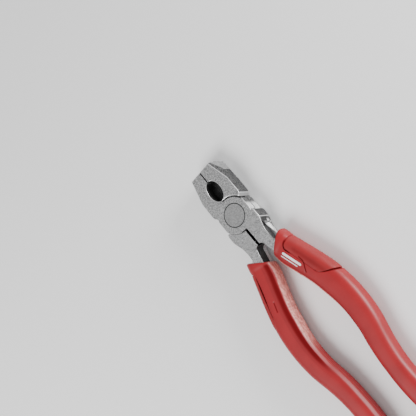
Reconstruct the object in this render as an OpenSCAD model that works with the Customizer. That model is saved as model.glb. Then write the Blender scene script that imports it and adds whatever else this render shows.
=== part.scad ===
// Lineman pliers: two forged halves lapped at a flush rivet, each with a moulded two-part hand grip.
// The nose points along +Y and the ground back face of the head lies on z = 0, centred on the pivot.
// The front half is the left jaw, the front hub and the right shank. The rear half is the rest.

/* [Head] */
// Thickness of the head, over both hub halves
head_t = 13.2; // [12:0.1:14]
// Distance from the pivot to the end of the nose
nose_y = 39.6; // [38:0.1:42]
// Half width of the nose end at the back face
nose_half_w = 12.9; // [12:0.1:13.2]
// Half width of the front face where its long side chamfer starts at the nose end
nose_face_half_w = 9; // [8.5:0.1:10.5]
// Angle of the side chamfer from the vertical
chamfer_lean = 21; // [15:1:30]
// Half width of the jaws where they are widest
jaw_half_w = 13.8; // [13.4:0.1:14.5]
// Height of the jaws' lower edge above the pivot
jaw_foot_y = 8.6; // [7:0.1:9.5]
// Gap between the gripping flats when closed
nose_gap = 0.7; // [0.4:0.1:1]
// Spacing of the gripping serrations
tooth_pitch = 1.15; // [1:0.05:1.4]

/* [Hub] */
// Radius of the lapped hub discs
hub_r = 13; // [12.6:0.1:13.2]
// Radial clearance between a hub disc and the other half's shank
hub_clear = 0.2; // [0.2:0.05:0.4]
// Radial clearance between a hub disc and the other half's jaw
jaw_clear = 0.5; // [0.3:0.05:0.6]
// Half width of the hub across its trimmed sides
hub_half_w = 12.4; // [12:0.1:12.4]
// Radius of the rivet heads at the face
rivet_head_r = 8.1; // [7:0.1:9]
// Radius of the rivet shank
rivet_r = 5.5; // [4:0.1:6]
// Depth of each countersunk rivet head
rivet_head_h = 3; // [2:0.1:4]
// Running clearance of the rear half on the rivet
rivet_clear = 0.05; // [0.02:0.01:0.1]

/* [Cutter] */
// Distance from the pivot to the middle of the knives
cutter_y = 22.2; // [21:0.1:23]
// Half width of the oval pocket behind the knives
pocket_half_w = 5.4; // [4.5:0.1:6]
// Half length of the oval pocket
pocket_half_l = 8.2; // [7:0.1:8.5]
// Height of the cutting edges above the back face
edge_z = 4.8; // [4:0.1:6]
// Gap between the closed cutting edges
edge_gap = 0.16; // [0.1:0.02:0.3]

/* [Shanks] */
// Half width across the shoulders below the hub
shoulder_half_w = 13.8; // [13:0.1:14]
// Distance from the pivot down to the shoulders
shoulder_y = 6.2; // [6:0.1:7]
// Half width of the shanks where the grips start
neck_half_w = 10.7; // [10:0.1:11]
// Width of the slit between the shanks
slit_w = 2; // [1.5:0.1:2.5]

/* [Handles] */
// Angle of each handle from the centre line below the head
splay = 17.5; // [16:0.5:19]
// Radius of the outward bow of each handle
bow_r = 105; // [95:1:120]
// Angle that the bow turns through
bow_turn = 30.5; // [28:0.5:33]
// Radius of the reverse curve near the handle's end
tail_r = 150; // [130:1:170]
// Angle that the reverse curve turns through
tail_turn = 23; // [20:0.5:25]
// Width of the steel tang inside the grip
tang_w = 7.6; // [7:0.1:8]
// Thickness of the steel tang inside the grip
tang_t = 7.2; // [6:0.1:8]

/* [Grips] */
// Half width of a grip where the hand closes round it
grip_half_w = 8.9; // [8.5:0.1:9.5]
// Half thickness of a grip there
grip_half_t = 7.8; // [7.5:0.1:8.5]
// Wall of the stiff liner between tang and grip
liner_wall = 1.2; // [1:0.1:1.5]
// Wall of the sleeve left behind the palm panel
panel_back = 1; // [0.8:0.1:1.2]
// Width of the groove round the palm panel
panel_gap = 0.35; // [0.3:0.05:0.6]

/* [Hidden] */
$fn = 96;
eps = 0.05;
far = 60;
mid_z = head_t / 2;
lap_gap = 0.1;
steel = [0.62, 0.62, 0.63];
rivet_steel = [0.56, 0.56, 0.57];
grip_red = [0.74, 0.13, 0.14];
panel_red = [0.80, 0.22, 0.22];
liner_grey = [0.16, 0.16, 0.17];

// ---- Handle centre line: straight, bow, reverse curve, straight, measured along its length ----
handle_start = [8.9, -29.5];
bow_s = 38.3;
tail_s = bow_s + bow_r * bow_turn * PI / 180;
end_s = tail_s + tail_r * tail_turn * PI / 180;
handle_l = end_s + 18;

function run(p, h, s) = [p[0] + s * sin(h), p[1] - s * cos(h), h];
function bend(p, h, r, turn) =
    [p[0] + r * (cos(h) - cos(h + turn)), p[1] - r * (sin(h + turn) - sin(h)), h + turn];
bow_start = run(handle_start, splay, bow_s);
tail_start = bend(bow_start, splay, -bow_r, -bow_turn);
end_start = bend(tail_start, tail_start[2], tail_r, tail_turn);

// Place on the centre line at length s: [x, y, heading from -Y towards +X]
function spot(s) =
    s < bow_s ? run(handle_start, splay, s) :
    s < tail_s ? bend(bow_start, splay, -bow_r, -(s - bow_s) / bow_r * 180 / PI) :
    s < end_s ? bend(tail_start, tail_start[2], tail_r, (s - tail_s) / tail_r * 180 / PI) :
    run(end_start, end_start[2], s - end_s);
function beside(s, off) = let (c = spot(s)) [c[0] + off * cos(c[2]), c[1] + off * sin(c[2])];

// ---- Grip: a band along the centre line, rounded front to back in steps ----
width_swell = [[-8, 0.4], [0, 0.3], [8, 0], [14, -0.3], [30, 0.3], [60, 0.3], [85, 0.1],
               [120, -0.9], [150, -0.5], [175, 0]];
function grip_half(s) = grip_half_w + lookup(s, width_swell);
// Belly on the inner side, below the collar
inner_belly = [[6, 0], [10, 1.5], [14, 2.4], [18, 2.4], [25, 1.8], [35, 1.5], [52, 1.9], [70, 0.8], [90, 0]];
function grip_inner(s) = grip_half(s) + lookup(s, inner_belly);
dome_l = 7;
first_s = -9;
// Each step: share of the half thickness, and how far its plan is set in
grip_steps = [[1, 2.8], [0.91, 1.3], [0.77, 0.4], [0.55, 0]];

module grip_plan(inset) {
    body_s = [for (i = [0:22]) first_s + (handle_l - dome_l - first_s) * i / 22];
    dome_q = [15:15:75];
    dome_s = function (q) handle_l - dome_l + (dome_l - inset) * sin(q);
    wide = function (s) grip_half(s) - inset;
    polygon(concat([for (s = body_s) beside(s, wide(s))],
                   [for (q = dome_q) beside(dome_s(q), wide(dome_s(q)) * cos(q))],
                   [beside(handle_l - inset, 0)],
                   [for (q = [75:-15:15]) beside(dome_s(q), -wide(dome_s(q)) * cos(q))],
                   [for (i = [22:-1:0]) beside(body_s[i], inset - grip_inner(body_s[i]))]));
}
// Plan of everything below the slanted upper end of a grip
grip_top_in = [2, -39.6];
grip_top_out = [24, -23.8];
module below_grip_top()
    polygon([grip_top_in, grip_top_out, [2 * far, grip_top_out[1]], [2 * far, -4 * far], [-far, -4 * far],
             [-far, grip_top_in[1]]]);

module grip_body()
    for (step = grip_steps) {
        half = grip_half_t * step[0];
        translate([0, 0, mid_z - half]) linear_extrude(2 * half) intersection() {
            grip_plan(step[1]);
            below_grip_top();
        }
    }

// ---- Steel outlines, drawn for the right-hand side ----
nose_corner = 1.6;
chamfer_end_y = 22.3;
jaw_step = 2.2;
pad = nose_gap / 2;
tooth_depth = 0.4;
module jaw_outline() {
    difference() {
        polygon([[pad, nose_y], [nose_half_w - nose_corner, nose_y], [nose_half_w, nose_y - nose_corner],
                 [jaw_half_w - 0.4, 30], [jaw_half_w - 0.1, chamfer_end_y], [jaw_half_w, 10.4], [jaw_half_w - 0.4, jaw_foot_y],
                 [jaw_half_w - 0.4 - jaw_step, jaw_foot_y - jaw_step], [9, 0], [edge_gap / 2, 0],
                 [edge_gap / 2, cutter_y + pocket_half_l], [pad, cutter_y + pocket_half_l]]);
        circle(hub_r + jaw_clear);
        for (y = [cutter_y + pocket_half_l + 1.2:tooth_pitch:nose_y - 0.8])
            translate([pad, y]) rotate(45) square(tooth_depth * sqrt(2), center = true);
    }
}

tang_start_s = 5;
liner_start_s = 11;
tang_end_s = handle_l - 13;
tang_step = 5;
module shank_outline() {
    end_in = beside(liner_start_s, -tang_w / 2);
    end_out = beside(liner_start_s - 4, tang_w / 2);
    difference() {
        polygon([[slit_w / 2, 0], [10, -3.6], [11.2, -5.2], [shoulder_half_w - 0.6, -shoulder_y],
                 [shoulder_half_w, -7.6], [shoulder_half_w, -13], [12.7, -16.4], [11.3, -20.6],
                 [neck_half_w, -26], [neck_half_w + 0.3, -31], end_out, end_in,
                 [5.4, -37], [3.6, -29], [3.2, -27.6], [2.2, -26.8], [slit_w / 2, -26.4]]);
        circle(hub_r + hub_clear);
    }
}
module band(inner, outer, from_s, to_s) {
    n = ceil((to_s - from_s) / tang_step);
    stations = [for (i = [0:n]) from_s + (to_s - from_s) * i / n];
    polygon(concat([for (i = [0:n]) beside(stations[i], outer)],
                   [for (i = [n:-1:0]) beside(stations[i], inner)]));
}

module tang(half, t, from_s, to_s)
    translate([0, 0, mid_z - t / 2]) linear_extrude(t) band(-half, half, from_s, to_s);

module hub_outline() intersection() { circle(hub_r); square([2 * hub_half_w, far], center = true); }

// Space beyond the long chamfer that narrows the front face towards the nose
module side_chamfer() {
    edge_end = [jaw_half_w - 0.1, chamfer_end_y];
    run_in = atan((edge_end[0] - nose_face_half_w) / (nose_y - chamfer_end_y));
    translate([edge_end[0], edge_end[1], head_t]) rotate([0, 0, run_in]) rotate([0, -chamfer_lean, 0])
        translate([0, -far / 2, -far / 2]) cube(far);
}

// Half of the oval pocket on the front and the sloping knife bevel on the back
module cutter_cuts() {
    translate([0, cutter_y, edge_z + 0.2]) linear_extrude(head_t)
        polygon([for (q = [0:7.5:352.5]) [pocket_half_w * cos(q), pocket_half_l * sin(q)]]);
    bevel_w = 5.6;
    translate([0, cutter_y + pocket_half_l, 0]) rotate([90, 0, 0])
        linear_extrude(2 * pocket_half_l + 4)
            polygon([[-1, edge_z + edge_z / bevel_w], [bevel_w + 1, -edge_z / bevel_w], [-1, -1]]);
}

// Shallow hollow forged along the outer side of a shank
module side_hollow() {
    hollow_r = 8;
    hollow_depth = 1.1;
    hollow_top_y = -17;
    hollow_l = 20;
    translate([neck_half_w + hollow_r - hollow_depth, hollow_top_y, mid_z]) rotate([90, 0, -1])
        cylinder(r = hollow_r, h = hollow_l);
}

module jaw() difference() {
    linear_extrude(head_t) jaw_outline();
    side_chamfer();
    cutter_cuts();
}
module shank() difference() {
    linear_extrude(head_t) shank_outline();
    side_hollow();
}
module handle_steel() {
    shank();
    bare_tang();
}
// The hub disc and the ring that joins it to its own jaw and shank, in its own layer only
jaw_bridge_y = 5.9;
shank_bridge_y = -5;
ring_w = 1;
module layer_bridge() linear_extrude(mid_z - lap_gap / 2) {
    hub_outline();
    intersection() {
        difference() {
            circle(hub_r + jaw_clear + eps);
            circle(hub_r - ring_w);
        }
        union() {
            translate([ring_w / 2 - hub_half_w, jaw_bridge_y]) square([hub_half_w - ring_w / 2 - edge_gap / 2, far]);
            translate([slit_w / 2, shank_bridge_y - far]) square([hub_half_w - slit_w / 2, far]);
        }
    }
}
// One complete forging: left jaw, hub disc on the +z side, right shank and tang
module forging() {
    mirror([1, 0, 0]) jaw();
    handle_steel();
    translate([0, 0, head_t]) mirror([0, 0, 1]) layer_bridge();
}

// Countersunk seat and bore for the rivet on one side, grown by a clearance
module rivet_side(gap) {
    cylinder(r = rivet_r + gap, h = mid_z + eps);
    cylinder(r1 = rivet_head_r + gap, r2 = rivet_r + gap, h = rivet_head_h);
}

module front_half() color(steel) difference() {
    forging();
    translate([0, 0, head_t]) mirror([0, 0, 1]) rivet_side(0);
}
module rear_half() color(steel) difference() {
    turned_over() back_forging();
    translate([0, 0, -eps]) cylinder(r = rivet_r + rivet_clear, h = head_t);
    rivet_side(rivet_clear);
}
// The rear forging has its hub at the back, but its knife and pocket face the same way as the front one's
module back_forging() {
    mirror([1, 0, 0]) translate([0, 0, head_t]) mirror([0, 0, 1]) jaw();
    handle_steel();
    translate([0, 0, head_t]) mirror([0, 0, 1]) layer_bridge();
}
module pivot_rivet() color(rivet_steel) {
    rivet_side(0);
    translate([0, 0, head_t]) mirror([0, 0, 1]) rivet_side(0);
}

// ---- Grips, drawn for the right-hand side ----
module liner_solid() tang(tang_w / 2 + liner_wall, tang_t + 2 * liner_wall, liner_start_s, tang_end_s + 2);
module bare_tang() tang(tang_w / 2, tang_t, tang_start_s, tang_end_s);
module liner() difference() {
    liner_solid();
    bare_tang();
}

// Plan of the palm panel: the outer half of the grip from its collar down to a slanted lower edge
panel_corner = [17.2, -42.2];
panel_corner_r = 4;
panel_back_w = 4.6;
module panel_plan(grow) {
    r = panel_corner_r + grow;
    polygon(concat([for (q = [180 + splay:-15:90]) panel_corner + r * [cos(q), sin(q)]],
                   [[36, -32 + grow], [48, -60], [40.3, -82 - grow], [27.7, -73.7 - grow],
                    [21 - grow, -70.3 - grow]]));
}
// The panel covers the outer half of the front face, and only a rim of the back face
module panel_zone(grow) difference() {
    union() {
        translate([0, 0, mid_z]) linear_extrude(far) panel_plan(grow);
        translate([0, 0, mid_z - far]) linear_extrude(far + eps) intersection() {
            panel_plan(grow);
            band(panel_back_w - grow, far / 2, 0, 90);
        }
    }
    tang(tang_w / 2 + liner_wall + panel_back - grow, tang_t + 2 * (liner_wall + panel_back - grow), 0, 90);
}
module palm_panel() intersection() { grip_body(); panel_zone(0); }
module sleeve() difference() {
    grip_body();
    panel_zone(panel_gap);
    liner_solid();
    bare_tang();
    linear_extrude(head_t) shank_outline();
}

module right_grip_liner() color(liner_grey) liner();
module right_grip_sleeve() color(grip_red) sleeve();
module right_palm_panel() color(panel_red) palm_panel();
// Both handles carry the same moulding, so the left grip is the right one turned over
module turned_over() translate([0, 0, head_t]) rotate([0, 180, 0]) children();
module left_grip_liner() color(liner_grey) turned_over() liner();
module left_grip_sleeve() color(grip_red) turned_over() sleeve();
module left_palm_panel() color(panel_red) turned_over() palm_panel();

front_half();
rear_half();
pivot_rivet();
right_grip_liner();
right_grip_sleeve();
right_palm_panel();
left_grip_liner();
left_grip_sleeve();
left_palm_panel();
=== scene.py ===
"""Lineman pliers: forged head with ground faces and blasted sides, and two moulded two-part hand grips.

Lengths are written in millimetres in the shared frame and turned into metres where a mesh is made.
The nose points along +Y, the ground back face lies on z = 0 and the pivot is the z axis. On a grip,
s is the length down the handle's centre line, w the distance outwards from it and z the height above
the middle plane.
"""

import math

import bmesh
import bpy
import numpy as np
from mathutils import Matrix, Vector


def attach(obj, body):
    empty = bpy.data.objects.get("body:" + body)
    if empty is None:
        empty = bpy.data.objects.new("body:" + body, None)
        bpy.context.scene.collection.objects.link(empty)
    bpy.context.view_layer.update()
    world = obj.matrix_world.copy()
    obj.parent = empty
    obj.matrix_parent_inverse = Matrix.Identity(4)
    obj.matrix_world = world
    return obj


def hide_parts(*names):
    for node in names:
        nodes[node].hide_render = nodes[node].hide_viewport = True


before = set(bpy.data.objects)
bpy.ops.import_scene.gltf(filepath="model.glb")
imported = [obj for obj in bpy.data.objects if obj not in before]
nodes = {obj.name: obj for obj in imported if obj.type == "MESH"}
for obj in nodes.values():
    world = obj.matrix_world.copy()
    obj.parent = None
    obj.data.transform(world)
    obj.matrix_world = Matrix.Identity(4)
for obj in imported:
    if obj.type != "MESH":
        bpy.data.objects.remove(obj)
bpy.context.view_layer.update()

# Head: its thickness, the hub and its outline, the rivet's rim and the hollow about the cutting edges
MM = 0.001
HEAD_T = 13.2
MID_Z = HEAD_T / 2
FLOOR_Z = -1.2
RIVET_RING_R = 8.1
PARTING_R = 12.95
HUB_R, HUB_HALF_W = 13.0, 12.4
CUTTER_Y, POCKET_HALF_W, POCKET_HALF_L = 22.2, 5.4, 8.2

# Where the finish of the forging changes, and where the painted highlight and painted shade on its sides
# lie
NECK_Y = -13.3
STREAK_DEPTH, STREAK_SLOPE = 4.8, 0.3
PAD_Y, PAD_SLOPE, PAD_TOP_Z, PAD_TOP_Y = 29.8, 0.36, 7.6, 29.9

# Edges: widths of the broken ones, and the angles that count as a corner
HEAD_EDGE_W, RIVET_EDGE_W = 0.45, 0.12
WELD_GAP = 0.02
FLAT_ANGLE, CORNER_ANGLE, SHARP_ANGLE = math.radians(1.5), math.radians(28), math.radians(52)

# Handle centre line, as in the CAD: straight, bow, reverse curve, straight
SPLAY, BOW_R, BOW_TURN, TAIL_R, TAIL_TURN = 17.5, 105.0, 30.5, 150.0, 23.0
HANDLE_START = (8.9, -29.5)
BOW_S = 38.3
TAIL_S = BOW_S + math.radians(BOW_R * BOW_TURN)
END_S = TAIL_S + math.radians(TAIL_R * TAIL_TURN)
HANDLE_L = END_S + 18.0

# Grip section and ends
GRIP_HALF_W, GRIP_HALF_T = 8.9, 7.8
RAISED = 0.28
SWELL_S = (-8, 0, 8, 14, 30, 60, 85, 120, 150, 175)
SWELL_W = (0.4, 0.3, 0, -0.3, 0.3, 0.3, 0.1, -0.9, -0.5, 0)
BELLY_S = (6, 10, 14, 18, 25, 35, 52, 70, 90)
BELLY_W = (0, 1.5, 2.4, 2.4, 1.8, 1.5, 1.9, 0.8, 0)
BELLY_SHIFTS = (-2, -1, 0, 1, 2)
SECTION_POWER = 2.75
DOME_L = 7.5
TOP_S, TOP_SLOPE, TOP_FADE_S = 4.6, -0.329, 42.0
TOP_LIP_R = 1.05
COLLAR_END_S = 9.7
SECTION_STEPS = 168
PRINT_T = 0.04

# Palm panel: border on the front face, on the rim of the back face, and at both ends
PANEL_TOP_S, PANEL_CORNER_R = 10.6, 4.0
PANEL_FRONT_W, PANEL_FRONT_LEAN = 0.15, -0.026
PANEL_BACK_W = 4.4
PANEL_END_S, PANEL_END_SLOPE = 42.6, 0.85
PANEL_END_W = -0.65
PANEL_DEPTH = 0.9
PANEL_UNDERSIDE = -PANEL_DEPTH - 0.1
GROOVE_W, SEAM_W = 0.7, 0.1

# Fine relief of the sleeve; each moulded line runs between (s, w) places
NOTCH_TOP, NOTCH_BEND, NOTCH_LOW = (24.8, 1.2), (28.7, 0.6), (34.0, -5.3)
BACK_LINE = (33.8, -1.1), (40.4, -0.8)
RIDGE_PITCH, RIDGE_LEAN, RIDGE_DEPTH = 1.9, 0.35, 0.2
WRINKLE_PITCH, WRINKLE_DEPTH = 2.3, 0.16

# Colours of the moulded parts, clean and in their darker clouds
LINER_COLOURS = (0.02, 0.02, 0.022), (0.012, 0.012, 0.013)
GRIP_COLOURS = (0.31, 0.0085, 0.0125), (0.24, 0.006, 0.009)
PANEL_COLOURS = (0.29, 0.009, 0.011), (0.22, 0.0065, 0.0085)
PRINT_COLOURS = (0.85, 0.85, 0.85), (0.78, 0.78, 0.78)
# painted light: the pink that the grips' inner sides are lightened towards
PAINTED_LIGHT_RED = (0.8, 0.33, 0.28)


# ---------------------------------------------------------------- handle geometry
def bend(start, radius, turn):
    """A start [x, y, heading in radians] carried along an arc."""
    x, y, h = start
    along_x = radius * (np.cos(h) - np.cos(h + turn))
    along_y = radius * (np.sin(h + turn) - np.sin(h))
    return np.array([x + along_x, y - along_y, h + turn])


def run(start, length):
    """A start [x, y, heading in radians] carried straight on."""
    x, y, h = start
    return np.array([x + length * np.sin(h), y - length * np.cos(h), h])


LINE_START = np.array([*HANDLE_START, math.radians(SPLAY)])
BOW_START = run(LINE_START, BOW_S)
TAIL_START = bend(BOW_START, -BOW_R, -math.radians(BOW_TURN))
END_START = bend(TAIL_START, TAIL_R, math.radians(TAIL_TURN))


def centre_line(s):
    """x, y and heading of the handle's centre line at lengths s."""
    s = np.asarray(s, float)
    flat = s.ravel()
    out = np.empty((flat.size, 3))
    for i, d in enumerate(flat):
        if d < BOW_S:
            out[i] = run(LINE_START, d)
        elif d < TAIL_S:
            out[i] = bend(BOW_START, -BOW_R, -(d - BOW_S) / BOW_R)
        elif d < END_S:
            out[i] = bend(TAIL_START, TAIL_R, (d - TAIL_S) / TAIL_R)
        else:
            out[i] = run(END_START, d - END_S)
    return out.reshape(*s.shape, 3)


LINE_S = np.linspace(-12, HANDLE_L + 2, 1600)
LINE = centre_line(LINE_S)


def place(s, w, z):
    """Points of the right grip, from their lengths s, distances outwards w and heights z."""
    x, y, h = (np.interp(s, LINE_S, LINE[:, k]) for k in range(3))
    return np.stack([x + w * np.cos(h), y + w * np.sin(h), MID_Z + z], -1)


def smooth(x, low, high):
    """0 up to low, 1 from high on, with a smooth rise between."""
    t = np.clip((x - low) / (high - low), 0, 1)
    return t * t * (3 - 2 * t)


def bump(x, middle, width):
    """1 at the middle, falling away smoothly on both sides."""
    return np.exp(-(((x - middle) / width) ** 2))


def waves(distance, pitch):
    """A wavy profile between 0 and 1."""
    return 0.5 + 0.5 * np.cos(2 * math.pi * distance / pitch)


def rounded(radius, distance):
    """How far a rounded edge of that radius has dropped at some distance from its end."""
    return radius - np.sqrt(np.maximum(radius**2 - np.maximum(radius - distance, 0) ** 2, 0))


def unit_section(count):
    """Points spaced evenly round the grip's superellipse, starting on its inner side.

    Gives w and z as shares of the half sizes, the outward normal in two parts, and the length so far.
    """
    a = np.linspace(-math.pi, math.pi, 8001)
    w = np.sign(np.cos(a)) * np.abs(np.cos(a)) ** (2 / SECTION_POWER)
    z = np.sign(np.sin(a)) * np.abs(np.sin(a)) ** (2 / SECTION_POWER)
    steps = np.hypot(np.diff(w) * GRIP_HALF_W, np.diff(z) * GRIP_HALF_T)
    length = np.concatenate([[0], np.cumsum(steps)])
    at = np.arange(count) / count * length[-1]
    w, z = np.interp(at, length, w), np.interp(at, length, z)
    nw = np.sign(w) * np.abs(w) ** (SECTION_POWER - 1) / GRIP_HALF_W
    nz = np.sign(z) * np.abs(z) ** (SECTION_POWER - 1) / GRIP_HALF_T
    n = np.hypot(nw, nz)
    return w, z, nw / n, nz / n, at


def grip_half(s):
    """Reach of the outer side from the centre line, before anything raised on it."""
    return GRIP_HALF_W + np.interp(s, SWELL_S, SWELL_W) - RAISED


def grip_inner(s):
    """Reach of the inner side from the centre line, with its softened belly below the collar."""
    belly = sum(np.interp(s + shift, BELLY_S, BELLY_W) for shift in BELLY_SHIFTS)
    return grip_half(s) + belly / len(BELLY_SHIFTS)


def level(s, w):
    """w with the belly taken out, so that -GRIP_HALF_W is always near the inner side."""
    return np.where(w < 0, w * grip_half(s) / grip_inner(s), w)


def dome(s):
    """Share of the full section left at length s near the rounded end."""
    t = np.clip((s - (HANDLE_L - DOME_L)) / DOME_L, 0, 1)
    return np.sqrt(np.maximum(1 - t * t, 0))


def panel_end_s(w):
    """Length at which the palm panel's slanting lower end crosses w."""
    return PANEL_END_S + PANEL_END_SLOPE * (np.minimum(w, GRIP_HALF_W) - PANEL_END_W)


def panel_front_w(s):
    """Where the palm panel ends on the front face."""
    return PANEL_FRONT_W + PANEL_FRONT_LEAN * (s - PANEL_TOP_S)


def panel_inside(s, w, z):
    """Distance inside the palm panel's border, in mm, negative outside it."""
    side = np.where(z > 0, w - panel_front_w(s), w - PANEL_BACK_W)
    top = s - PANEL_TOP_S
    end = (panel_end_s(w) - s) / math.hypot(1, PANEL_END_SLOPE)
    r = PANEL_CORNER_R
    corner = r - np.hypot(np.maximum(r - side, 0), np.maximum(r - top, 0))
    low = r - np.hypot(np.maximum(r - side, 0), np.maximum(r - end, 0))
    return np.minimum(np.minimum(corner, low), np.minimum(side, np.minimum(top, end)))


def segment(s, w, a, b):
    """Distance from a straight line between two (s, w) places on a face."""
    a, b = np.array(a, float), np.array(b, float)
    d = b - a
    t = np.clip(((s - a[0]) * d[0] + (w - a[1]) * d[1]) / (d @ d), 0, 1)
    return np.hypot(s - a[0] - t * d[0], w - a[1] - t * d[1])


def border_strength(s, w, z):
    """How open the palm panel's groove is: 1 where it is wide and deep, 0 where the two mouldings meet."""
    corner = (1 - smooth(s, 14, 20)) * (1 - 0.7 * smooth(w, 4, 7))
    end = 1 - smooth(panel_end_s(w) - s, 2, 5)
    rim = bump(s, 24, 9)
    return np.where(z > 0, np.maximum(corner, 0.75 * end), rim)


def label_notch(s, w):
    """Distance from the moulded line that ends the label field: a short upper arm and a long one."""
    upper_arm = segment(s, w, NOTCH_TOP, NOTCH_BEND)
    long_arm = segment(s, w, NOTCH_BEND, NOTCH_LOW)
    return np.minimum(long_arm, upper_arm)


def sleeve_lift(s, w, z):
    """How far the moulded sleeve's surface stands from its plain section."""
    # recess under the palm panel
    wall = SEAM_W + (GROOVE_W - SEAM_W) * border_strength(s, w, z)
    lift = -PANEL_DEPTH * smooth(panel_inside(s, w, z) + wall, -0.25, 0.25)
    # raised collar below the slanting top
    from_top = s - TOP_SLOPE * w * smooth(-s, -TOP_FADE_S, -TOP_S)
    past_collar = smooth(s, COLLAR_END_S - 2.6, COLLAR_END_S + 0.4)
    lift += RAISED * (1 - past_collar) * smooth(from_top, TOP_S - 1, TOP_S + 1.5)
    # moulded line on the front face
    lift -= 0.35 * smooth(z, 1, 3) * bump(label_notch(s, w), 0, 0.4)
    w = level(s, w)
    # lengthwise finger ridges along the inner side
    fade = smooth(s, 24, 34) * (1 - smooth(s, HANDLE_L - 34, HANDLE_L - 22))
    lift -= RIDGE_DEPTH * waves(z + RIDGE_LEAN * w, RIDGE_PITCH) * smooth(-w, 4.2, 5.6) * fade
    # short crosswise wrinkles lower on the inner face
    lift -= WRINKLE_DEPTH * smooth(-w, 7.4, 8.2) * smooth(s, 30, 40) * waves(s, WRINKLE_PITCH) * fade
    # short moulded line on the back face, near the panel's lower end
    lift -= 0.4 * smooth(-z, 1, 3) * bump(segment(s, w, *BACK_LINE), 0, 0.35)
    return lift


def sleeve_shade(s, w, z):
    """Painted shade on the sleeve, up to 1: in its grooves, under the panel and on the roundings beside the
    inner ridges.

    Below 0, down to -1, it is painted light instead, along its innermost strip.
    """
    inside = panel_inside(s, w, z)
    # painted shade in the panel's border groove, under the panel and along the moulded lines
    dark = bump(inside, -0.35, 0.55) * border_strength(s, w, z)
    dark = np.maximum(dark, smooth(inside, -0.3, 0.2))
    dark = np.maximum(dark, smooth(z, 1, 3) * bump(label_notch(s, w), 0, 0.5))
    dark = np.maximum(dark, 0.9 * smooth(-z, 1, 3) * bump(segment(s, w, *BACK_LINE), 0, 0.4))
    w = level(s, w)
    along = smooth(s, 6, 10) * (1 - smooth(s, 80, 110))
    # painted shade where the back face rounds over to the inner side
    back_corner_shade = (0.35 * smooth(-w, 1.2, 2.6) + 0.5 * smooth(-w, 3.0, 5.4)) * smooth(-z, 5.4, 6.6)
    dark = np.maximum(dark, along * back_corner_shade)
    # painted shade along the front face's inner edge
    dark = np.maximum(dark, 0.45 * along * smooth(z, 2.5, 4.5) * bump(w, -6.8, 1.3))
    # painted light along the inner side
    painted_light = smooth(s, 5, 9) * (1 - smooth(s, 55, 85)) * smooth(-w, 6.9, 7.7) * smooth(-z, -6.5, -4.5)
    return np.where(painted_light > dark, -painted_light, dark)


def section_points(s, w_share, z_share, nw, nz, lift_of, inset=0.0):
    """Places on the grip for arrays of lengths and section shares, lifted along the outward normal."""
    share = dome(s)
    half_w = np.where(w_share < 0, grip_inner(s), grip_half(s)) * share
    half_t = (GRIP_HALF_T - RAISED) * share
    w, z = w_share * half_w, z_share * half_t
    lift = lift_of(s, w, z) * smooth(share, 0.2, 0.8) - inset
    # where the rounded end closes, the lift turns into a scaling about the centre line
    reach = np.maximum(1 + lift / np.maximum(np.hypot(w, z), 1), 0)
    near_end = smooth(share, 0.0, 0.5)
    w = w + nw * lift * near_end + (reach - 1) * w * (1 - near_end)
    z = z + nz * lift * near_end + (reach - 1) * z * (1 - near_end)
    return place(s, w, z)


# ---------------------------------------------------------------- mesh helpers
def turned_over(points):
    """The left grip is the same moulding turned over."""
    return np.stack([-points[..., 0], points[..., 1], HEAD_T - points[..., 2]], -1)


def piece(name, points, faces, material, body, stands_for, left, shade=None):
    """A mesh piece; shade holds each point's painted shade, up to 1 where darkest, and below 0 its painted
    light.
    """
    if shade is None:
        shade = np.zeros(len(points))
    mesh = bpy.data.meshes.new(name)
    mesh.from_pydata((turned_over(points) if left else points) * MM, [], faces)
    attribute = mesh.attributes.new("shade", "FLOAT", "POINT")
    attribute.data.foreach_set("value", shade.astype(np.float32))
    mesh.shade_smooth()
    mesh.materials.append(material)
    obj = bpy.data.objects.new(name, mesh)
    bpy.context.scene.collection.objects.link(obj)
    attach(obj, body)
    if stands_for:
        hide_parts(stands_for)


def grid_faces(rows, cols, closed=False, offset=0, flip=False):
    """Four-sided faces between neighbouring points of a grid; closed joins the last column to the first."""
    last = cols if closed else cols - 1
    out = []
    for i in range(rows - 1):
        for j in range(last):
            k = (j + 1) % cols
            a, b, c, d = i * cols + j, i * cols + k, (i + 1) * cols + k, (i + 1) * cols + j
            quad = (a, d, c, b) if flip else (a, b, c, d)
            out.append(tuple(offset + v for v in quad))
    return out


def slab_faces(rows, cols):
    """Faces of a closed slab: a grid, the grid under it turned over, and the strip between their rims."""
    under = rows * cols
    faces = grid_faces(rows, cols)
    faces += grid_faces(rows, cols, offset=under, flip=True)
    rim = list(range(cols))
    rim += [i * cols + cols - 1 for i in range(1, rows)]
    rim += [(rows - 1) * cols + j for j in range(cols - 2, -1, -1)]
    rim += [i * cols for i in range(rows - 2, 0, -1)]
    faces += [(b, a, a + under, b + under) for a, b in zip(rim, rim[1:] + rim[:1])]
    return faces


def sleeve_rings():
    """Length and inset of each ring of the sleeve: its recessed end face, its rounded lip and its body."""
    # the end face, as insets and depths below the top
    recess = ((5.0, 1.0), (2.4, 0.8), (1.9, 0.35), (1.45, 0.08), (TOP_LIP_R, 0.0))
    rings = [(TOP_S + down, inset) for inset, down in recess]
    for degrees in (75, 60, 45, 30, 15):
        a = math.radians(degrees)
        rings.append((TOP_S + TOP_LIP_R * (1 - math.sin(a)), TOP_LIP_R * (1 - math.cos(a))))
    fine = np.arange(TOP_S + 1.3, 64, 0.34)
    coarse = np.arange(64, HANDLE_L - DOME_L, 1.1)
    round_end = HANDLE_L - DOME_L * (1 - np.sin(np.radians(np.arange(0, 89, 4))))
    rings += [(s, 0.0) for s in np.concatenate([fine, coarse, round_end])]
    return rings


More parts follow.
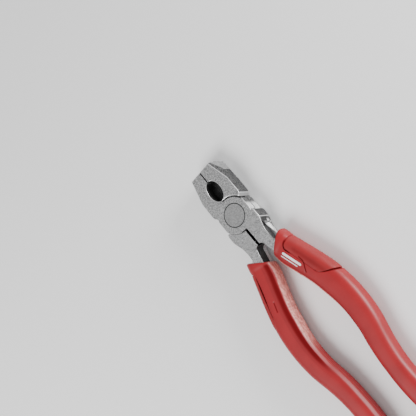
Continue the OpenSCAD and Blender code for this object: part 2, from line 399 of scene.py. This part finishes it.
def build_sleeve(name, material, body, stands_for, left):
    """The moulded grip: rings round the centre line, with a fan that closes each end."""
    w_share, z_share, nw, nz, _ = unit_section(SECTION_STEPS)
    points, shades = [], []
    for ring_s, inset in sleeve_rings():
        base_s = np.full(SECTION_STEPS, ring_s)
        slant = TOP_SLOPE * w_share * grip_half(base_s) * (1 - smooth(base_s, TOP_S, TOP_FADE_S))
        s = base_s + slant
        points.append(section_points(s, w_share, z_share, nw, nz, sleeve_lift, inset))
        reach = np.where(w_share < 0, grip_inner(s), GRIP_HALF_W)
        shades.append(sleeve_shade(s, w_share * reach, z_share * GRIP_HALF_T))
    faces = grid_faces(len(points), SECTION_STEPS, closed=True)
    first_of_last = (len(points) - 1) * SECTION_STEPS
    flat = np.concatenate(points)
    top, end = flat[:SECTION_STEPS].mean(0), place(np.array(HANDLE_L), 0.0, 0.0)
    flat = np.vstack([flat, top, end])
    top_at, end_at = len(flat) - 2, len(flat) - 1
    around = [(j, (j + 1) % SECTION_STEPS) for j in range(SECTION_STEPS)]
    faces += [(b, a, top_at) for a, b in around]
    faces += [(first_of_last + a, first_of_last + b, end_at) for a, b in around]
    shade = np.concatenate(shades + [np.zeros(2)])
    piece(name, flat, faces, material, body, stands_for, left, shade)


def edge_spaced(count, length, step):
    """0..1 with a few close steps at both ends, for a rounded rim."""
    rim = np.cumsum([0, 0.12, 0.15, 0.2, 0.3, 0.45]) / length
    inner = np.linspace(rim[-1], 1 - rim[-1], max(count, int(length / step)))
    return np.concatenate([rim[:-1], inner, (1 - rim[:-1])[::-1]])


def build_panel(name, material, body, stands_for, left):
    """A closed slab that fills the sleeve's recess, with rounded rims and a rounded upper corner."""
    w_all, z_all, nw_all, nz_all, at_all = unit_section(4000)
    upper = z_all > 0
    front_at = np.interp(0, w_all[upper][::-1], at_all[upper][::-1])
    back_at = np.interp(PANEL_BACK_W, (w_all * GRIP_HALF_W)[~upper], at_all[~upper])
    # v runs along the section, from the border on the back face over the outer side to the one on the front
    span = front_at - back_at
    v = edge_spaced(count=40, length=abs(span), step=0.4)
    at = back_at + v * span
    w_share, z_share, nw, nz = (np.interp(at, at_all, k) for k in (w_all, z_all, nw_all, nz_all))
    norm = np.hypot(nw, nz)
    nw, nz = nw / norm, nz / norm
    w = w_share * GRIP_HALF_W
    from_front, from_back = (1 - v) * span, v * span
    round_top = rounded(PANEL_CORNER_R - GROOVE_W / 2, from_front)
    round_end = 0.6 * round_top
    s_top = PANEL_TOP_S + GROOVE_W / 2 + round_top
    s_end = panel_end_s(w) - GROOVE_W / 2 - round_end
    at_front = smooth(v, 0.55, 1.0)
    rows, under_rows, shades = [], [], []
    for u in edge_spaced(count=60, length=36.0, step=0.45):
        s = s_top + (s_end - s_top) * u
        lean = PANEL_FRONT_LEAN * (s - PANEL_TOP_S) * at_front
        leaning = w_share + (lean + PANEL_FRONT_W) * at_front / GRIP_HALF_W
        rim = np.minimum(np.minimum(from_front, from_back), np.minimum(s - s_top, s_end - s))
        strength = border_strength(s, w, z_share)
        drop = rounded(0.2 + 0.55 * strength, rim)
        flush = RAISED * (1 - strength) * (1 - smooth(rim, 0, 3))
        valley = 0.3 * bump(w, 3.6, 2.0) * smooth(z_share, 0.2, 0.6) * smooth(s, 14, 22)
        lift = RAISED - drop - flush - valley
        rows.append(section_points(s, leaning, z_share, nw, nz, lambda *_, lift=lift: lift))
        under_rows.append(section_points(s, leaning, z_share, nw, nz, lambda *_: PANEL_UNDERSIDE))
        # painted shade in the rim's groove, in the front face's valley and along the moulded line
        under_rim = smooth(-rim, -0.55, -0.1) * (0.3 + 0.7 * strength)
        hollow = 0.5 * bump(w, 3.2, 2.2) * smooth(z_share, 0.3, 0.7) * smooth(s, 12, 20)
        notch = smooth(z_share, 0.3, 0.6) * bump(label_notch(s, w), 0, 0.5)
        shades.append(np.maximum(np.maximum(under_rim, hollow), notch))
    points = np.concatenate(rows + under_rows)
    shade = np.concatenate(shades + shades)
    faces = slab_faces(len(rows), len(v))
    piece(name, points, faces, material, body, stands_for, left, shade)


def build_mark(name, s_range, w_range, material, body):
    """A plain printed bar with round ends on the front of the right grip."""
    half_l, half_w = (s_range[1] - s_range[0]) / 2, (w_range[1] - w_range[0]) / 2
    mid_s, mid_w = sum(s_range) / 2, sum(w_range) / 2
    w_all, z_all, nw_all, nz_all, _ = unit_section(4000)
    front = z_all > 0.3
    order = np.argsort(w_all[front])
    w_front, *front_profile = (k[front][order] for k in (w_all, z_all, nw_all, nz_all))
    across = np.linspace(-1, 1, 9)
    rows = []
    for a in np.linspace(0, 1, 60):
        along = (2 * a - 1) * half_l
        into_end = max(abs(along) - (half_l - half_w), 0)
        reach = math.sqrt(max(half_w**2 - into_end**2, 0))
        w = mid_w + across * max(reach, 0.01)
        s = np.full_like(w, mid_s + along)
        share = w / np.where(w < 0, grip_inner(s), grip_half(s))
        z_share, nw, nz = (np.interp(share, w_front, k) for k in front_profile)
        rows.append(section_points(s, share, z_share, nw, nz, lambda *_: PRINT_T))
    faces = grid_faces(len(rows), len(across))
    piece(name, np.concatenate(rows), faces, material, body, None, False)


# ---------------------------------------------------------------- materials
class Shader:
    """Small wrapper for building a node material."""

    def __init__(self, name):
        self.material = bpy.data.materials.new(name)
        self.material.use_nodes = True
        self.tree = self.material.node_tree
        self.bsdf = self.tree.nodes["Principled BSDF"]
        self.coords = self.add("ShaderNodeTexCoord").outputs["Object"]
        self.xyz = None

    def add(self, kind, **values):
        node = self.tree.nodes.new(kind)
        for key, value in values.items():
            setattr(node, key, value)
        return node

    def link(self, source, target):
        self.tree.links.new(source, target)

    def feed(self, socket, value):
        """Link a node's output to a socket, or set the socket to a constant."""
        if isinstance(value, bpy.types.NodeSocket):
            self.link(value, socket)
        else:
            socket.default_value = value

    def axis(self, letter):
        """Object position along an axis, in millimetres."""
        if self.xyz is None:
            self.xyz = self.add("ShaderNodeSeparateXYZ")
            self.link(self.coords, self.xyz.inputs[0])
        return self.math("MULTIPLY", self.xyz.outputs[letter], 1 / MM)

    def normal_axis(self, letter):
        """One part of the surface's normal."""
        node = self.add("ShaderNodeSeparateXYZ")
        self.link(self.add("ShaderNodeNewGeometry").outputs["Normal"], node.inputs[0])
        return node.outputs[letter]

    def math(self, operation, a, b=0.0):
        node = self.add("ShaderNodeMath", operation=operation)
        self.feed(node.inputs[0], a)
        self.feed(node.inputs[1], b)
        return node.outputs[0]

    def times(self, first, *others):
        """The product of some values."""
        for other in others:
            first = self.math("MULTIPLY", first, other)
        return first

    def ramp(self, value, low, high):
        """0 below low, 1 above high; low may be the larger."""
        node = self.add("ShaderNodeMapRange", interpolation_type="SMOOTHSTEP")
        self.feed(node.inputs["Value"], value)
        node.inputs["From Min"].default_value = min(low, high)
        node.inputs["From Max"].default_value = max(low, high)
        if low > high:
            node.inputs["To Min"].default_value = 1
            node.inputs["To Max"].default_value = 0
        return node.outputs["Result"]

    def near(self, value, middle, none, full):
        """1 within full of the middle and 0 beyond none."""
        return self.ramp(self.math("ABSOLUTE", self.math("SUBTRACT", value, middle)), none, full)

    def noise(self, scale, detail, roughness, stretch=(1, 1, 1)):
        """Noise fixed to the object, finer as the scale rises."""
        mapping = self.add("ShaderNodeMapping")
        mapping.inputs["Scale"].default_value = stretch
        self.link(self.coords, mapping.inputs["Vector"])
        node = self.add("ShaderNodeTexNoise")
        self.link(mapping.outputs["Vector"], node.inputs["Vector"])
        node.inputs["Scale"].default_value = scale
        node.inputs["Detail"].default_value = detail
        node.inputs["Roughness"].default_value = roughness
        return node.outputs["Fac"]

    def mix(self, fac, a, b):
        """Colour a where the factor is 0, b where it is 1."""
        node = self.add("ShaderNodeMix", data_type="RGBA")
        self.feed(node.inputs["Factor"], fac)
        for socket, value in ((node.inputs[6], a), (node.inputs[7], b)):
            if isinstance(value, tuple):
                value = (*value, 1.0)
            self.feed(socket, value)
        return node.outputs[2]

    def pivot_distance(self, x, y):
        """Distance from the pivot's axis, in millimetres."""
        return self.math("SQRT", self.math("ADD", self.times(x, x), self.times(y, y)))

    def ring(self, x, y, radius, none, full):
        """1 within full mm of a circle of that radius about the pivot, and 0 beyond none mm."""
        return self.near(self.pivot_distance(x, y), radius, none, full)

    def mix_value(self, fac, a, b):
        """Value a where the factor is 0, b where it is 1."""
        node = self.add("ShaderNodeMix", data_type="FLOAT")
        self.feed(node.inputs["Factor"], fac)
        self.feed(node.inputs[2], a)
        self.feed(node.inputs[3], b)
        return node.outputs[0]

    def bumps(self, height, strength, distance_mm):
        """A normal disturbed by a height."""
        node = self.add("ShaderNodeBump")
        self.feed(node.inputs["Strength"], strength)
        node.inputs["Distance"].default_value = distance_mm * MM
        self.link(height, node.inputs["Height"])
        return node.outputs["Normal"]


def grey(v):
    """A very slightly cool grey."""
    return (v, v, v * 1.005)


def neck_colour(m, y, depth, blasted, polished_highlight, painted_shade):
    """The neck's outer side: painted shade near the front face, blasted near the back, with a band of
    painted highlight.
    """
    streak_depth = m.math("SUBTRACT", STREAK_DEPTH, m.times(y, STREAK_SLOPE))
    highlight = m.times(m.near(depth, streak_depth, 1.7, 0.9), m.ramp(y, -14.6, -16.6))
    return m.mix(highlight, m.mix(m.ramp(depth, 8, 11), painted_shade, blasted), polished_highlight)


def hub_colour(m, y, z, blasted, polished_highlight):
    """The hub's round side: blasted, with a painted highlight below the pivot and a dark line where the
    halves lap.
    """
    # painted highlight on the hub's side below the pivot
    highlight = m.times(m.ramp(y, 2.0, -1.4), m.ramp(y, -7.5, -5.6))
    return m.mix(m.near(z, MID_Z, 0.55, 0.3), m.mix(highlight, blasted, polished_highlight), grey(0.01))


def jaw_colour(m, y, z, outer, blasted, facet):
    """The jaw's side: blasted, with a ground pad low beside the nose and a dark line at the pad's end."""
    pad_top = m.math("ADD", m.times(y, PAD_SLOPE), PAD_TOP_Z - PAD_SLOPE * PAD_TOP_Y)
    below_top = m.math("SUBTRACT", pad_top, z)
    pad = m.times(m.ramp(y, PAD_Y, PAD_Y + 0.4), m.ramp(below_top, -0.15, 0.15))
    pad_line = m.times(m.near(y, PAD_Y, 0.4, 0.15), m.ramp(below_top, -0.3, 0.0))
    return m.mix(m.times(pad_line, outer), m.mix(pad, blasted, facet), grey(0.015))


def face_lines(m, x, y):
    """1 on the dark lines of the ground faces: the hub's outline above and below, and the rivet's rim."""
    parting = m.ring(x, y, PARTING_R, 0.75, 0.45)
    above = m.times(parting, m.times(m.ramp(x, -1, 0), m.ramp(y, 4, 5)))
    below = m.times(parting, m.times(m.ramp(y, -11.8, -12.2), m.ramp(x, -4.6, -4.0)), m.ramp(x, 1.0, 0.5))
    return m.math("MAXIMUM", m.math("MAXIMUM", above, below), m.ring(x, y, RIVET_RING_R, 0.5, 0.2))


def in_pocket(m, x, y, z):
    """1 in the rounded hollow about the cutting edges, below the front face."""
    across = m.math("ABSOLUTE", m.math("DIVIDE", x, POCKET_HALF_W))
    along = m.math("ABSOLUTE", m.math("DIVIDE", m.math("SUBTRACT", y, CUTTER_Y), POCKET_HALF_L))
    from_cutter = m.math("ADD", m.math("POWER", across, 2.0), m.math("POWER", along, 2.0))
    return m.times(m.ramp(from_cutter, 1.25, 1.1), m.ramp(z, 12.9, 12.5))


def forged_steel():
    """Ground faces, dark blasted jaw sides, and hub, neck and shank sides partly shiny, with painted
    highlights and painted shade; painted shade also in the hollow about the cutting edges.
    """
    m = Shader("forged_steel")
    x, y, z = (m.axis(k) for k in "XYZ")
    nx, ny, nz = (m.normal_axis(k) for k in "XYZ")
    grain, fine = m.noise(1350, 3, 0.75), m.noise(5200, 2, 0.5)
    mottle, patch = m.noise(260, 3, 0.6), m.noise(420, 4, 0.6)
    cast, hollow = m.noise(1250, 4, 0.8), m.noise(500, 3, 0.6)

    # the finishes, and the painted highlight and painted shade
    ground = m.mix(m.ramp(grain, 0.36, 0.64), grey(0.19), grey(0.66))
    ground = m.mix(m.times(m.ramp(mottle, 0.4, 0.7), 0.15), ground, grey(0.38))
    blasted = m.mix(m.ramp(cast, 0.4, 0.62), grey(0.014), grey(0.2))
    blasted = m.mix(m.times(m.ramp(patch, 0.45, 0.7), 0.3), blasted, grey(0.09))
    facet = m.mix(m.ramp(grain, 0.36, 0.62), grey(0.24), grey(0.42))
    # painted highlight on the shiny sides; painted shade on their dark parts and in the hollow about the
    # cutting edges
    polished_highlight = m.mix(m.ramp(patch, 0.3, 0.7), grey(0.75), grey(0.92))
    painted_shade = m.mix(m.ramp(patch, 0.3, 0.7), grey(0.012), grey(0.03))
    pocket_shade = m.mix(m.ramp(hollow, 0.35, 0.65), grey(0.05), grey(0.09))

    # where each lies: on the faces or the sides, and on the hub, the neck or the shanks
    face = m.ramp(m.math("ABSOLUTE", nz), 0.93, 0.985)
    outward = m.times(nx, m.math("SIGN", x))
    outer, inner = m.ramp(outward, 0.3, 0.5), m.ramp(outward, -0.2, -0.4)
    hub = m.ramp(m.pivot_distance(x, y), HUB_R + 0.6, HUB_R + 0.3)
    neck = m.ramp(y, NECK_Y, NECK_Y - 0.6)
    neck_top = m.near(y, NECK_Y, 0.42, 0.2)
    jaw_foot = m.times(m.ramp(ny, -0.4, -0.6), m.times(m.ramp(y, 5.5, 6.0), m.ramp(y, 9.6, 9.2)))
    depth = m.math("SUBTRACT", HEAD_T, z)

    side = jaw_colour(m, y, z, outer, blasted, facet)
    # painted highlight on the hub's side; painted shade and a painted highlight on the neck's
    side = m.mix(hub, side, hub_colour(m, y, z, blasted, polished_highlight))
    side = m.mix(m.times(outer, neck), side, neck_colour(m, y, depth, blasted, polished_highlight, painted_shade))
    # painted highlight along the step where the neck begins
    side = m.mix(m.times(outer, neck_top), side, grey(0.6))
    # painted highlight on the jaw's foot, which faces down the handles
    side = m.mix(jaw_foot, side, grey(0.44))
    # painted shade on the shanks' inner sides near the front face, and painted highlight further from it
    shank_inner = m.mix(m.ramp(depth, 8.4, 9.6), painted_shade, polished_highlight)
    side = m.mix(m.times(inner, m.ramp(y, -12, -13)), side, shank_inner)
    ground = m.mix(m.times(face_lines(m, x, y), 0.92), ground, grey(0.012))
    # painted shade in the hollow about the cutting edges
    colour = m.mix(in_pocket(m, x, y, z), m.mix(face, side, ground), pocket_shade)
    m.link(colour, m.bsdf.inputs["Base Color"])

    shiny = m.math("MAXIMUM", neck, hub)
    shiny_side = m.times(shiny, m.math("SUBTRACT", 1.0, face))
    m.link(m.mix_value(shiny_side, 0.85, 0.45), m.bsdf.inputs["Metallic"])
    side_roughness, face_roughness = m.mix_value(shiny, 0.55, 0.24), m.mix_value(grain, 0.36, 0.52)
    m.link(m.mix_value(face, side_roughness, face_roughness), m.bsdf.inputs["Roughness"])
    smoothness = m.math("MAXIMUM", shiny, face)
    height, strength = m.mix_value(smoothness, cast, fine), m.mix_value(smoothness, 0.8, 0.15)
    m.link(m.bumps(height, strength, 0.14), m.bsdf.inputs["Normal"])
    return m.material


def bright_edge():
    """The broken edges: bright with wear and with a painted highlight, duller along the handles."""
    m = Shader("edge_steel")
    lightening = m.noise(900, 3, 0.6)
    # painted highlight on the edges, over their wear
    bright = m.mix(m.ramp(lightening, 0.3, 0.7), grey(0.8), grey(0.95))
    m.link(m.mix(m.ramp(m.axis("Y"), -12, -15), bright, grey(0.35)), m.bsdf.inputs["Base Color"])
    m.bsdf.inputs["Metallic"].default_value = 0.85
    m.link(m.mix_value(lightening, 0.25, 0.42), m.bsdf.inputs["Roughness"])
    m.link(m.bumps(lightening, 0.1, 0.05), m.bsdf.inputs["Normal"])
    return m.material


def rivet_steel():
    """The rivet's ground face, with a dark ring at its rim."""
    m = Shader("rivet_steel")
    grain, fine = m.noise(1500, 4, 0.7), m.noise(5200, 2, 0.5)
    x, y = m.axis("X"), m.axis("Y")
    face = m.mix(m.ramp(grain, 0.36, 0.64), grey(0.26), grey(0.54))
    m.link(m.mix(m.ring(x, y, RIVET_RING_R, 0.5, 0.2), face, grey(0.03)), m.bsdf.inputs["Base Color"])
    m.bsdf.inputs["Metallic"].default_value = 0.85
    m.link(m.mix_value(grain, 0.34, 0.48), m.bsdf.inputs["Roughness"])
    m.link(m.bumps(fine, 0.12, 0.1), m.bsdf.inputs["Normal"])
    return m.material


def moulded(name, colours, roughness, grain_scale, strength):
    """A soft-feel plastic with a fine matt grain; the mesh's shade attribute darkens it with painted shade,
    and below 0 lightens it with painted light.
    """
    m = Shader(name)
    colour, dark = colours
    grain, cloudy = m.noise(grain_scale, 3, 0.6), m.noise(90, 3, 0.5)
    base = m.mix(m.times(m.ramp(cloudy, 0.35, 0.7), 0.5), colour, dark)
    base = m.mix(m.times(m.ramp(grain, 0.5, 0.75), 0.25), base, dark)
    shade = m.add("ShaderNodeAttribute", attribute_name="shade").outputs["Fac"]
    # painted shade, as strong as the mesh's shade attribute
    base = m.mix(m.times(m.ramp(shade, 0, 1), 0.8), base, tuple(0.22 * c for c in colour))
    # painted light: pink in fine bands where the shade attribute is below 0
    folds = m.ramp(m.noise(750, 3, 0.6, stretch=(1, 0.4, 1)), 0.38, 0.62)
    lightening = m.times(m.ramp(shade, 0, -1), m.math("ADD", m.times(folds, 0.5), 0.4))
    m.link(m.mix(lightening, base, PAINTED_LIGHT_RED), m.bsdf.inputs["Base Color"])
    matt = m.ramp(shade, 0.2, 0.9)
    open_roughness = m.mix_value(grain, roughness - 0.06, roughness + 0.08)
    m.link(m.mix_value(matt, open_roughness, 0.85), m.bsdf.inputs["Roughness"])
    m.link(m.mix_value(matt, 0.45, 0.08), m.bsdf.inputs["Specular IOR Level"])
    m.link(m.bumps(grain, strength, 0.08), m.bsdf.inputs["Normal"])
    return m.material


def floor_material():
    """White paper with a faint tooth."""
    m = Shader("floor_paper")
    tooth = m.noise(300, 2, 0.5)
    m.link(m.mix(tooth, (0.93, 0.93, 0.93), (0.95, 0.95, 0.95)), m.bsdf.inputs["Base Color"])
    m.bsdf.inputs["Roughness"].default_value = 0.9
    m.bsdf.inputs["Specular IOR Level"].default_value = 0.1
    return m.material


# ---------------------------------------------------------------- steel parts
def is_broken(edge):
    """Whether the maker broke this edge: outlines of the ground faces and corners of the outer sides.

    The hub's lap, the rivet's seat, the serrations and the slit between hub and cutter stay sharp.
    """
    if len(edge.link_faces) != 2 or edge.calc_face_angle(0) < CORNER_ANGLE or edge.calc_length() < 0.2 * MM:
        return False
    a, b = (v.co / MM for v in edge.verts)
    mid = (a + b) / 2
    radius = math.hypot(mid.x, mid.y)
    on_face = max(min(abs(v.z), abs(v.z - HEAD_T)) for v in (a, b)) < 0.05 and abs(a.z - b.z) < 0.05
    on_lap = radius < HUB_R + 0.1 and abs(mid.x) < HUB_HALF_W - 0.1
    in_teeth = abs(mid.x) < 1.2 and mid.y > CUTTER_Y + POCKET_HALF_L - 0.4
    in_slit = abs(mid.x) < 0.6 and HUB_R - 0.5 < mid.y < CUTTER_Y - POCKET_HALF_L + 0.1
    upright = math.hypot(a.x - b.x, a.y - b.y) < 0.3 and abs(a.z - b.z) > 3
    outer_corner = upright and abs(mid.x) > 10.5 and radius > HUB_R + 0.7
    return (on_face and not (on_lap or in_teeth or in_slit)) or outer_corner


def steel_half(node_name, body, main, edge, width_mm):
    """The CAD node's own mesh, welded, flattened and with its outlines broken, standing for the node."""
    bm = bmesh.new()
    bm.from_mesh(nodes[node_name].data)
    bmesh.ops.remove_doubles(bm, verts=bm.verts, dist=WELD_GAP * MM)
    bmesh.ops.dissolve_limit(bm, angle_limit=FLAT_ANGLE, verts=bm.verts, edges=bm.edges)
    for face in bm.faces:
        face.material_index = 0
    bmesh.ops.bevel(
        bm, geom=[e for e in bm.edges if is_broken(e)], affect="EDGES",
        offset=width_mm * MM, offset_type="WIDTH", segments=2, profile=0.5,
        clamp_overlap=False, material=1, loop_slide=True,
    )
    # the edges left sharp have to shade sharp too
    for e in bm.edges:
        e.smooth = len(e.link_faces) == 2 and e.calc_face_angle(0) < SHARP_ANGLE
    mesh = bpy.data.meshes.new(f"{node_name}_forging")
    bm.to_mesh(mesh)
    bm.free()
    mesh.shade_smooth()
    mesh.materials.append(main)
    mesh.materials.append(edge)
    obj = bpy.data.objects.new(f"{node_name}_forging", mesh)
    bpy.context.scene.collection.objects.link(obj)
    normals = obj.modifiers.new("normals", "WEIGHTED_NORMAL")
    normals.keep_sharp = True
    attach(obj, body)
    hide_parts(node_name)


def dress_rivet(obj, main, width_mm):
    """The CAD's own rivet, welded, flattened and with its edges broken, in its steel."""
    obj.data.materials.clear()
    obj.data.materials.append(main)
    obj.data.shade_smooth()
    weld = obj.modifiers.new("weld", "WELD")
    weld.merge_threshold = WELD_GAP * MM
    flat = obj.modifiers.new("flat", "DECIMATE")
    flat.decimate_type = "DISSOLVE"
    flat.angle_limit = FLAT_ANGLE
    bevel = obj.modifiers.new("broken_edges", "BEVEL")
    bevel.width = width_mm * MM
    bevel.segments = 2
    bevel.limit_method = "ANGLE"
    bevel.angle_limit = CORNER_ANGLE
    obj.modifiers.new("normals", "WEIGHTED_NORMAL").keep_sharp = True


steel, edge, rivet = forged_steel(), bright_edge(), rivet_steel()
steel_half("front_half", "front_body", steel, edge, HEAD_EDGE_W)
steel_half("rear_half", "rear_body", steel, edge, HEAD_EDGE_W)
dress_rivet(nodes["pivot_rivet"], rivet, RIVET_EDGE_W)

liner_plastic = moulded("liner_plastic", LINER_COLOURS, 0.5, 2600, 0.2)
for side in ("right", "left"):
    liner = nodes[f"{side}_grip_liner"]
    liner.data.materials.clear()
    liner.data.materials.append(liner_plastic)

# ---------------------------------------------------------------- grips
grip_plastic = moulded("grip_plastic", GRIP_COLOURS, 0.42, 3200, 0.18)
panel_rubber = moulded("panel_rubber", PANEL_COLOURS, 0.52, 2400, 0.25)
white_print = moulded("white_print", PRINT_COLOURS, 0.5, 3000, 0.05)
for side, body in (("right", "front_body"), ("left", "rear_body")):
    build_sleeve(f"{side}_grip_shell", grip_plastic, body, f"{side}_grip_sleeve", side == "left")
    build_panel(f"{side}_grip_panel", panel_rubber, body, f"{side}_palm_panel", side == "left")
build_mark("right_grip_mark_bar", (13.0, 29.0), (-3.9, -2.3), white_print, "front_body")
build_mark("right_grip_mark_line", (13.0, 27.0), (-5.6, -5.0), white_print, "front_body")


# ---------------------------------------------------------------- floor, light, camera
def build_floor():
    """A white square, 6 m across, under the pliers."""
    half = 3.0
    corners = [(-half, -half, 0), (half, -half, 0), (half, half, 0), (-half, half, 0)]
    mesh = bpy.data.meshes.new("floor")
    mesh.from_pydata(corners, [], [(0, 1, 2, 3)])
    mesh.materials.append(floor_material())
    obj = bpy.data.objects.new("floor", mesh)
    obj.location.z = FLOOR_Z * MM
    bpy.context.scene.collection.objects.link(obj)


def area_light(name, where, aim, size, watts):
    """A round soft light at one place, in metres, aimed at another."""
    light = bpy.data.lights.new(name, "AREA")
    light.shape = "DISK"
    light.size, light.energy = size, watts
    obj = bpy.data.objects.new(name, light)
    obj.location = where
    obj.rotation_euler = (Vector(aim) - Vector(where)).to_track_quat("-Z", "Y").to_euler()
    bpy.context.scene.collection.objects.link(obj)


def studio_world(strength):
    """Even white light from all round."""
    world = bpy.data.worlds.new("studio")
    world.use_nodes = True
    background = world.node_tree.nodes["Background"]
    background.inputs["Color"].default_value = (1, 1, 1, 1)
    background.inputs["Strength"].default_value = strength
    bpy.context.scene.world = world


def build_camera():
    """The photo's view, from above the right grip; right and down are the directions across the picture."""
    where = Vector((0.3796, -0.3052, 0.8020))
    right = Vector((0.59812, -0.59260, -0.53952))
    down = Vector((-0.68418, -0.72814, 0.04128))
    forward = right.cross(down).normalized()
    down = forward.cross(right).normalized()
    camera = bpy.data.cameras.new("camera")
    camera.sensor_width = 36
    camera.lens = 119.9
    camera.clip_start = 0.05
    obj = bpy.data.objects.new("camera", camera)
    turn = Matrix((right.normalized(), -down, -forward)).transposed().to_4x4()
    obj.matrix_world = Matrix.Translation(where) @ turn
    bpy.context.scene.collection.objects.link(obj)
    bpy.context.scene.camera = obj


build_floor()
studio_world(0.5)
area_light("side_softbox", (0.75, 0.0, 0.16), (0, -0.03, 0.005), 0.35, 9)
area_light("top_softbox", (-0.55, -0.45, 0.8), (0, -0.03, 0), 0.6, 12)
build_camera()
